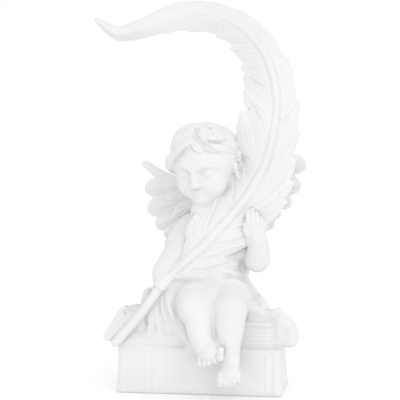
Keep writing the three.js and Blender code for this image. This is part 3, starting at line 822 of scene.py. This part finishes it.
def wing(side, lift, reach):
    """One wing: its side, how far it is raised, and the length of its leading arm."""

    def place(p):
        x, y, z = p[:3]
        return (WING_MIDDLE + side * x * (1 + 0.004 * lift), y, z + lift * (0.75 + 0.012 * x), *p[3:])

    primaries = (
        ((24, 22.5, 153), (63, 27.5, 151), 8.6),
        ((18, 21.5, 144), (61 - 2 * (side > 0), 27.5, 134), 9.4),
        ((14, 20.5, 135), (54.5 - 2 * (side > 0), 26.5, 122), 8.4),
        ((11, 19.0, 128), (47 - 3 * (side > 0), 24.5, 114.2), 6.8),
    )
    for root, tip, half in primaries:
        plume(place(root), place(tip), half, 2.8, 2.0)
    coverts = (
        ((24, 20, 155), (46, 23.5, 153.5), 5.4),
        ((19, 19.2, 148), (44, 22.8, 143.5), 6.0),
        ((15, 18.2, 141), (39, 21.5, 131.5), 6.0),
        ((12, 17, 134), (33, 20, 121.5), 5.4),
    )
    for root, tip, half in coverts:
        plume(place(root), place(tip), half, 2.7, 1.5)
    limb(
        [
            place((4, 8, 122, 9)),
            place((9, 17, 138, 8.2)),
            place((24, 22, 151, 6.4)),
            place((42 * reach, 26.5, 158.5, 5)),
            place((54 * reach, 29, 165, 3.8)),
            place((62.5 * reach, 30, 171, 3)),
        ],
        1.0,
        flat=0.8,
    )
    for drop, start in ((4.5, 14), (8.5, 17)):
        limb(
            [
                place((start, 17.5, 143 - drop, 1.8)),
                place((24, 19.6, 151 - drop, 1.9)),
                place((40 * reach, 23.4, 157.5 - drop, 1.6)),
                place((54 * reach, 27.4, 162 - drop, 1.0)),
            ],
            0.6,
        )


wing(-1, 0, 1.0)
wing(1, 14, 0.8)
plume((24, 14, 134), (54.5, 17, 125), 8.2, 2.8)

# THE QUILL FEATHER
# A giant writing quill, cast on: a round shaft that the right hand holds above the books' corner, then a
# broad vane across the chest, up and over the head to a curled tip. Barbs in long pointed lobes slant
# from a grooved rib. A station is x, y, z and the vane's reach to its inner and its outer edge.
RACHIS = (
    (-61.5, -42, 40, 3, 3),
    (-42.6, -42, 61.7, 3.5, 3.5),
    (-24.2, -37.5, 87.6, 3, 4),
    (-10.2, -34.5, 101.8, 4.5, 19),
    (5.8, -31, 115.4, 21, 22.5),
    (33, -26, 146.5, 20, 28.5),
    (45.5, -21, 167, 26.5, 28.5),
    (53, -17, 186, 31.5, 22.5),
    (58.2, -13, 223.2, 27.5, 17.5),
    (49.5, -10, 258.4, 22.5, 13.5),
    (23.5, -9, 284.6, 18, 10),
    (-13.3, -10, 291, 15, 9),
    (-45.4, -13, 279.8, 9, 7),
    (-64, -15.5, 275.6, 7, 5.5),
    (-80.6, -17.3, 286.6, 3.4, 0.5),
)
QUILL = 3.5
limb([(x, y, z, QUILL) for x, y, z, _, _ in RACHIS[:5]], 1.0)
VANE_FIRST_STATION = 2.3
EAR_STATION = 6.0
vane_start = VANE_FIRST_STATION / (len(RACHIS) - 1)
by_ear = EAR_STATION / (len(RACHIS) - 1)
FINE = 1200
vane_reach = course([s[3:] for s in RACHIS], FINE + 1)
vane_path = course([s[:3] for s in RACHIS], FINE + 1)
vane_length = np.concatenate([[0], np.cumsum(np.linalg.norm(np.diff(vane_path, axis=0), axis=1))])
# each lobe: where it starts along the rib, and how deep the nick before it is
INNER_LOBES = (
    (66, 2), (90, 2.5), (115, 3), (140, 3), (166, 3), (192, 3), (219, 7), (230, 1.5), (241, 2),
    (255, 2.5), (268, 3.5), (290, 3.5), (310, 3), (336, 0.8), (360, 0.8), (384, 0.6),
)
OUTER_LOBES = (
    (85, 0.6), (106, 5), (125, 4), (143, 3), (163, 3.5), (177, 3.5), (190, 3.5), (207, 3), (228, 2.5),
    (258, 3), (280, 1), (301, 0.8), (328, 0.5), (356, 0.5),
)
FIRST_LOBE, LAST_LOBE = 40.0, 420.0
BARB = 3.3
BARB_DEPTH = 1.2
SHINGLE = 2.8
RIB_HALF = 3.2
RIB_HEIGHT = 0.7
RIB_GROOVE = 1.5
THINNEST = 0.9
CUP = 3.0
EAR_TUCK = 18
ROLLED_BACK = 7.0
ROLLED_UNDER = 4.0
vane_slant = 1.0 + np.clip((215 - vane_length) / 60, 0, 1)
barb_number = np.cumsum(np.gradient(vane_length) / (BARB * np.hypot(1, vane_slant)))


def lobe_at(spot, lobes):
    """How far a place on the feather's edge is through its lobe, from 0 to 1, and the lobe's nick."""
    starts = np.array([FIRST_LOBE] + [at for at, _ in lobes] + [LAST_LOBE])
    nicks = np.array([0.0] + [nick for _, nick in lobes])
    number = np.clip(np.searchsorted(starts, spot, side="right") - 1, 0, len(nicks) - 1)
    return np.clip((spot - starts[number]) / (starts[number + 1] - starts[number]), 0, 1), nicks[number]


def hump(t, middle, span):
    """A soft rise and fall about a place along the feather."""
    return np.exp(-(((t - middle) / span) ** 2))


def vane_section(t, side, front):
    """The vane's width and depth: lobes that overlap like shingles, fine barbs, the rib and the curl."""
    spot = np.minimum((t * FINE).astype(int), FINE)
    length = vane_length[spot]
    along = (t - vane_start) / (1 - vane_start)
    away = np.abs(side)
    inner = side > 0
    reach = np.where(inner, vane_reach[spot, 0], vane_reach[spot, 1])
    slant = vane_slant[spot]
    at_edge = length + slant * reach * (1 - away)
    phase = np.where(inner, lobe_at(at_edge, INNER_LOBES)[0], lobe_at(at_edge, OUTER_LOBES)[0])
    edge_phase = np.where(inner, lobe_at(length, INNER_LOBES)[0], lobe_at(length, OUTER_LOBES)[0])
    nick = np.where(inner, lobe_at(length, INNER_LOBES)[1], lobe_at(length, OUTER_LOBES)[1])
    fade = np.minimum(1.0, along * 6) * np.minimum(1.0, (1 - along) * 5 + 0.1)
    width = (reach - nick * (1 - edge_phase) * away**2) * side
    depth = (3.0 + 1.8 * (1 - away) ** 0.8) * (1 - 0.2 * along)
    spread = np.maximum(0.0, away - 0.1)
    step = (1 - phase) ** 1.8
    shingle = SHINGLE * fade * spread**0.8 * np.where(inner, -step, step - 0.5)
    number = np.interp(at_edge, vane_length, barb_number) + 0.25 * np.sin(at_edge / 6)
    barb_line = (0.5 + 0.5 * np.cos(2 * np.pi * number)) ** 3
    uneven = 0.75 + 0.25 * np.sin(at_edge / 5)
    barbs = -BARB_DEPTH * fade * np.minimum(1.0, spread * 3) * barb_line * uneven
    rib_at = away * reach
    rib_half = RIB_HALF * (1 - 0.45 * along)
    rib_fade = np.clip((0.78 - along) / 0.25, 0, 1)
    rib = RIB_HEIGHT * rib_fade * np.exp(-((rib_at / rib_half) ** 4))
    groove = RIB_GROOVE * rib_fade * np.exp(-(((rib_at - rib_half * 1.2) / 0.8) ** 2))
    face = np.maximum(THINNEST, depth + rib - groove + shingle + barbs)
    back = np.maximum(THINNEST, depth + 0.5 * shingle + 0.4 * barbs)
    tuck = EAR_TUCK * hump(t, by_ear, 0.05)
    rolled_back = ROLLED_BACK * hump(t, 0.59, 0.17)
    rolled_under = ROLLED_UNDER * np.clip((t - 0.82) / 0.07, 0, 1)
    curl = -(CUP + np.where(inner, tuck + rolled_under, rolled_back)) * side * side
    return width, front * np.where(front > 0, face, back) + curl


skin(RACHIS, vane_section, 144, 900, 0.6, start=vane_start)

# THE CASTING
# The block is poured as one white plaster casting, cut flat underneath and a little softened by the
# mould. The plaster is matt, with a fine grain, faint clouds of tone, grey painted shade in the hollows
# and slightly lighter worn edges.
TRIANGLES = 190000
SHELL = 3.0
METRES = 0.001
place, x, y, z = room(BLOCK_LOW, np.array((*BLOCK_HIGH[:2], SHELL)))
ground = np.broadcast_to(z[None, None, :], (x.size, y.size, z.size)).astype(np.float32)
carve(place, ground, 0.3)
grid = openvdb.FloatGrid(SHELL)
grid.copyFromArray(np.clip(block, -SHELL, SHELL))
points, quads = grid.convertToQuads(0.0)
points = (points * GRAIN + BLOCK_LOW) * METRES
mesh = bpy.data.meshes.new("plaster_angel")
mesh.from_pydata(points.tolist(), [], quads.tolist())
mesh.update()
angel = bpy.data.objects.new("plaster_angel", mesh)
bpy.context.scene.collection.objects.link(angel)


def largest_part(source):
    """Keeps the one connected body: loose crumbs and shut pockets are dropped."""
    bm = bmesh.new()
    bm.from_mesh(source)
    bm.verts.ensure_lookup_table()
    seen = np.zeros(len(bm.verts), bool)
    groups = []
    for v in bm.verts:
        if seen[v.index]:
            continue
        seen[v.index] = True
        group, queue = [v], [v]
        while queue:
            for edge in queue.pop().link_edges:
                for other in edge.verts:
                    if not seen[other.index]:
                        seen[other.index] = True
                        group.append(other)
                        queue.append(other)
        groups.append(group)
    groups.sort(key=len)
    for group in groups[:-1]:
        bmesh.ops.delete(bm, geom=group, context="VERTS")
    bm.to_mesh(source)
    bm.free()


largest_part(mesh)
softening = angel.modifiers.new("mould_softening", "SMOOTH")
softening.factor = 0.5
softening.iterations = 1
thinning = angel.modifiers.new("thinning", "DECIMATE")
thinning.ratio = min(1.0, TRIANGLES / (2 * len(mesh.polygons)))
bpy.context.view_layer.update()
finished = bpy.data.meshes.new_from_object(angel.evaluated_get(bpy.context.evaluated_depsgraph_get()))
angel.modifiers.clear()
angel.data = finished
finished.name = "plaster_angel"
bpy.data.meshes.remove(mesh)
finished.polygons.foreach_set("use_smooth", np.ones(len(finished.polygons), bool))


def clay_at(spots):
    """The clay's distances at the given places, blended between the block's grains."""
    at = (spots - BLOCK_LOW) / GRAIN
    corner = np.clip(at.astype(int), 0, np.array(block.shape) - 2)
    part = at - corner
    found = np.zeros(len(spots))
    for k in range(8):
        step = np.array((k & 1, k >> 1 & 1, k >> 2))
        share = np.where(step, part, 1 - part).prod(axis=1)
        found += share * block[tuple((corner + step).T)]
    return found


PROBE = 2.4
spots = np.zeros(3 * len(finished.vertices), np.float32)
finished.vertices.foreach_get("co", spots)
ways = np.zeros(3 * len(finished.vertices), np.float32)
finished.vertices.foreach_get("normal", ways)
spots, ways = spots.reshape(-1, 3) / METRES, ways.reshape(-1, 3)
# hollow says how shut in each point is; it drives the grey painted shade in the creases and hollows
hollow = np.clip(1 - clay_at(spots + ways * PROBE) / PROBE, 0, 1)
crest = np.clip(1 + clay_at(spots - ways * PROBE) / PROBE, 0, 1)
finished.attributes.new("hollow", "FLOAT", "POINT").data.foreach_set("value", hollow.astype(np.float32))
finished.attributes.new("crest", "FLOAT", "POINT").data.foreach_set("value", crest.astype(np.float32))

DARKER_CLOUD = (0.755, 0.752, 0.745, 1)
LIGHTER_CLOUD = (0.795, 0.795, 0.791, 1)
# the grey of the painted shade laid into the hollows and creases
HOLLOW_SHADE = (0.6, 0.595, 0.58, 1)
WORN = (0.82, 0.82, 0.82, 1)
MIX_BELOW, MIX_ABOVE, MIX_RESULT = 6, 7, 2
plaster = bpy.data.materials.new("white_plaster")
plaster.use_nodes = True
nodes, links = plaster.node_tree.nodes, plaster.node_tree.links
shader = nodes["Principled BSDF"]
shader.inputs["Specular IOR Level"].default_value = 0.3
place = nodes.new("ShaderNodeTexCoord")


def noise(scale, detail):
    """A noise pattern fixed to the casting."""
    node = nodes.new("ShaderNodeTexNoise")
    node.inputs["Scale"].default_value = scale
    node.inputs["Detail"].default_value = detail
    links.new(place.outputs["Object"], node.inputs["Vector"])
    return node.outputs["Fac"]


def tinted(below, colour, name, most):
    """Lays a colour over the tone below where the mesh attribute is high."""
    mask = nodes.new("ShaderNodeAttribute")
    mask.attribute_name = name
    range_node = nodes.new("ShaderNodeMapRange")
    range_node.inputs["From Min"].default_value = 0.1
    range_node.inputs["From Max"].default_value = 0.7
    range_node.inputs["To Max"].default_value = most
    links.new(mask.outputs["Fac"], range_node.inputs["Value"])
    mix = nodes.new("ShaderNodeMix")
    mix.data_type = "RGBA"
    links.new(range_node.outputs["Result"], mix.inputs["Factor"])
    links.new(below, mix.inputs[MIX_BELOW])
    mix.inputs[MIX_ABOVE].default_value = colour
    return mix.outputs[MIX_RESULT]


clouds = noise(26.0, 4.0)
tone = nodes.new("ShaderNodeValToRGB")
tone.color_ramp.elements[0].position = 0.3
tone.color_ramp.elements[0].color = DARKER_CLOUD
tone.color_ramp.elements[1].position = 0.7
tone.color_ramp.elements[1].color = LIGHTER_CLOUD
links.new(clouds, tone.inputs["Fac"])
# painted shade: the hollows and creases are tinted grey, darker the more shut in they are
shaded_hollows = tinted(tone.outputs["Color"], HOLLOW_SHADE, "hollow", 0.5)
worn = tinted(shaded_hollows, WORN, "crest", 0.3)
links.new(worn, shader.inputs["Base Color"])
sheen = nodes.new("ShaderNodeMapRange")
sheen.inputs["To Min"].default_value = 0.62
sheen.inputs["To Max"].default_value = 0.82
links.new(clouds, sheen.inputs["Value"])
links.new(sheen.outputs["Result"], shader.inputs["Roughness"])


def relief(height, strength, depth):
    """A bump that follows a pattern, its depth in metres."""
    bump = nodes.new("ShaderNodeBump")
    bump.inputs["Strength"].default_value = strength
    bump.inputs["Distance"].default_value = depth
    links.new(height, bump.inputs["Height"])
    return bump


fine_relief = relief(noise(900.0, 3.0), strength=0.1, depth=0.0004)
hand_relief = relief(noise(160.0, 2.0), strength=0.12, depth=0.0012)
links.new(fine_relief.outputs["Normal"], hand_relief.inputs["Normal"])
links.new(hand_relief.outputs["Normal"], shader.inputs["Normal"])
finished.materials.clear()
finished.materials.append(plaster)
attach(angel, "root")
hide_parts("angel_statue")

# THE STUDIO
# A plain white floor under soft light from all round, with one weak wide lamp from the front right, and
# the camera a little above and to the right of the statue's front.
FLOOR_HALF = 30.0
FLOOR_GLOW = 0.045
bm = bmesh.new()
bmesh.ops.create_grid(bm, x_segments=1, y_segments=1, size=FLOOR_HALF)
floor_mesh = bpy.data.meshes.new("floor")
bm.to_mesh(floor_mesh)
bm.free()
floor = bpy.data.objects.new("floor", floor_mesh)
bpy.context.scene.collection.objects.link(floor)
paper = bpy.data.materials.new("floor_paper")
paper.use_nodes = True
paper_shader = paper.node_tree.nodes["Principled BSDF"]
paper_shader.inputs["Base Color"].default_value = (0.95, 0.95, 0.95, 1)
paper_shader.inputs["Roughness"].default_value = 0.9
paper_shader.inputs["Emission Color"].default_value = (1, 1, 1, 1)
paper_shader.inputs["Emission Strength"].default_value = FLOOR_GLOW
floor_mesh.materials.append(paper)

world = bpy.data.worlds.new("studio")
world.use_nodes = True
sky = world.node_tree.nodes["Background"]
sky.inputs["Color"].default_value = (1, 1, 1, 1)
sky.inputs["Strength"].default_value = 1.0
bpy.context.scene.world = world
LAMP_STRENGTH = 0.55
LAMP_SPREAD = 45
LAMP_WAY = Vector((-0.4, 0.83, -0.38))
lamp_data = bpy.data.lights.new("key", "SUN")
lamp_data.energy = LAMP_STRENGTH
lamp_data.angle = math.radians(LAMP_SPREAD)
lamp = bpy.data.objects.new("key", lamp_data)
lamp.rotation_euler = LAMP_WAY.to_track_quat("-Z", "Y").to_euler()
bpy.context.scene.collection.objects.link(lamp)
bpy.context.scene.view_settings.view_transform = "Standard"

CAMERA_ROUND, CAMERA_ABOVE = math.radians(8), math.radians(6)
CAMERA_AWAY = 1.35
VIEW_WIDTH = 0.3144
VIEW_RIGHT, VIEW_UP = -0.00236, 0.1452
SENSOR = 36
level = math.cos(CAMERA_ABOVE)
back = Vector((math.sin(CAMERA_ROUND) * level, -math.cos(CAMERA_ROUND) * level, math.sin(CAMERA_ABOVE)))
right = Vector((math.cos(CAMERA_ROUND), math.sin(CAMERA_ROUND), 0))
up = back.cross(right)
camera_data = bpy.data.cameras.new("camera")
camera_data.lens = SENSOR * CAMERA_AWAY / VIEW_WIDTH
camera = bpy.data.objects.new("camera", camera_data)
camera_at = right * VIEW_RIGHT + up * VIEW_UP + back * CAMERA_AWAY
camera_turn = Matrix((right, up, back)).transposed().to_4x4()
camera.matrix_world = Matrix.Translation(camera_at) @ camera_turn
bpy.context.scene.collection.objects.link(camera)
bpy.context.scene.camera = camera
